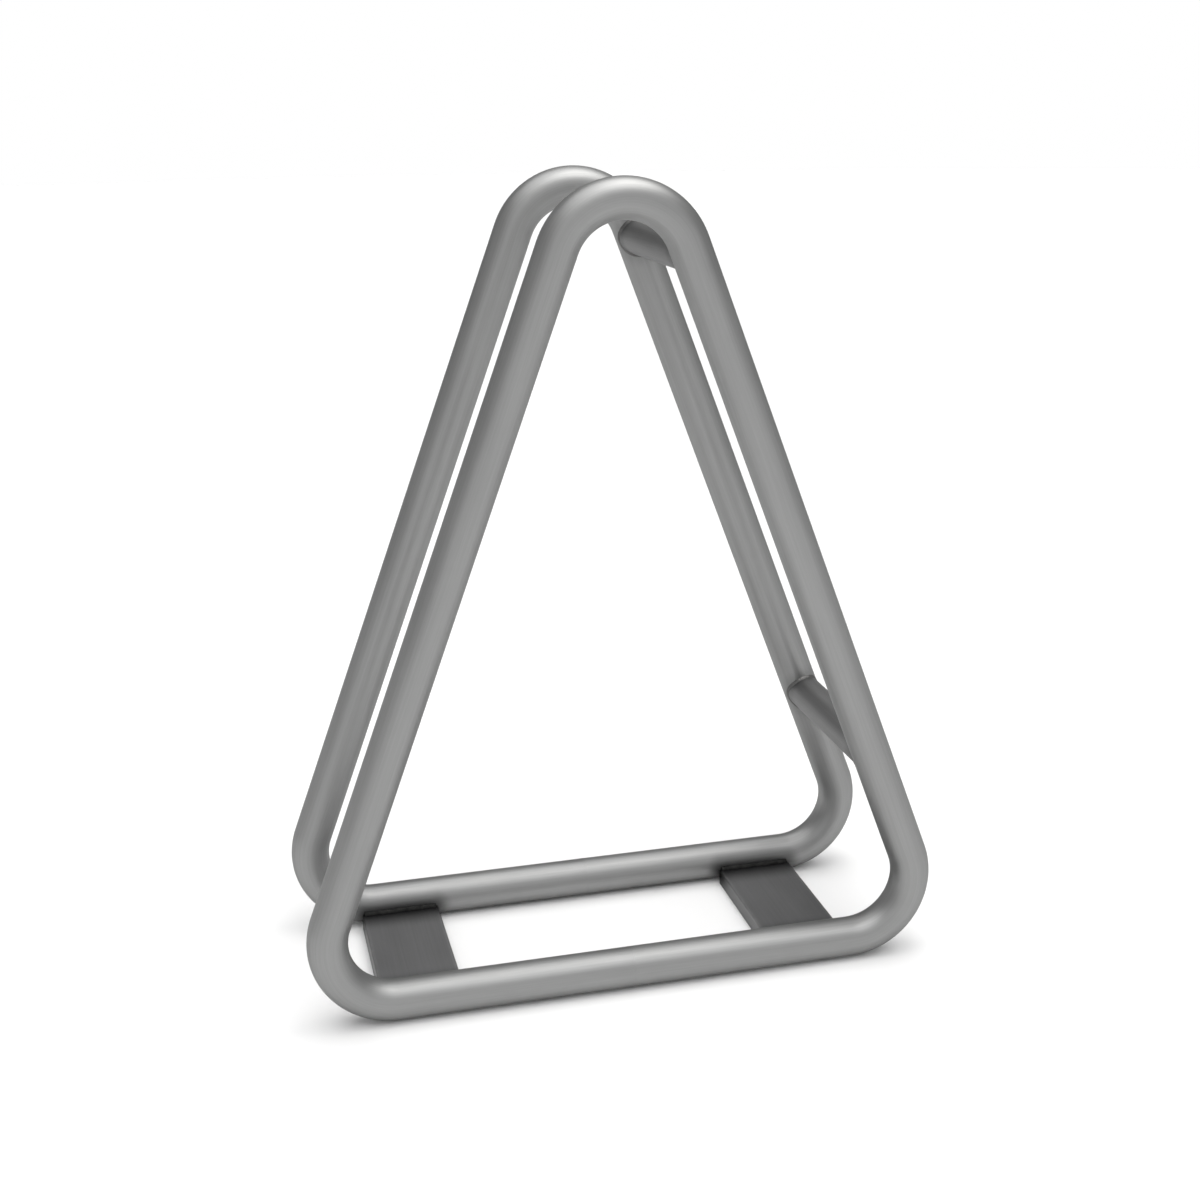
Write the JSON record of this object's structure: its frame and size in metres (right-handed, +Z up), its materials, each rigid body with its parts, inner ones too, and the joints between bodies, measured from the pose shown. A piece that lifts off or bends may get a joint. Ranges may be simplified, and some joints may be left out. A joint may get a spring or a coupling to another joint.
{
  "type": "double triangle tube stand",
  "caption": "Free-standing floor stand of bent tube triangles side by side, joined by flat base bars and short cross tubes, with a slot between them that is open on one side.",
  "frame": {"origin": "on the floor, in the middle of the stand's footprint", "axes": "+X along the base towards the side with the cross tubes, +Y from the front loop to the rear loop, +Z up"},
  "size_m": [0.7784, 0.2982, 0.9778],
  "materials": {
    "satin_steel": "satin",
    "dark_satin_steel": "satin, darker",
    "bar_steel": "satin",
    "weld_metal": "as welded, brushed",
    "dark_weld_metal": "as welded, dark from heat",
    "inner_steel": "mill"
  },
  "bodies": {
    "root": {"front_butt_weld": "satin_steel", "front_joint_sleeve": "inner_steel", "front_loop_tube": "satin_steel", "left_bar_front_root_weld": "dark_weld_metal", "left_bar_front_weld": "dark_weld_metal", "left_bar_rear_root_weld": "dark_weld_metal", "left_bar_rear_weld": "dark_weld_metal", "left_base_bar": "bar_steel", "lower_cross_front_weld": "weld_metal", "lower_cross_rear_weld": "weld_metal", "lower_cross_tube": "dark_satin_steel", "rear_butt_weld": "satin_steel", "rear_joint_sleeve": "inner_steel", "rear_loop_tube": "satin_steel", "right_bar_front_root_weld": "dark_weld_metal", "right_bar_front_weld": "dark_weld_metal", "right_bar_rear_root_weld": "dark_weld_metal", "right_bar_rear_weld": "dark_weld_metal", "right_base_bar": "bar_steel", "upper_cross_front_weld": "weld_metal", "upper_cross_rear_weld": "weld_metal", "upper_cross_tube": "dark_satin_steel"}
  },
  "joints": []
}
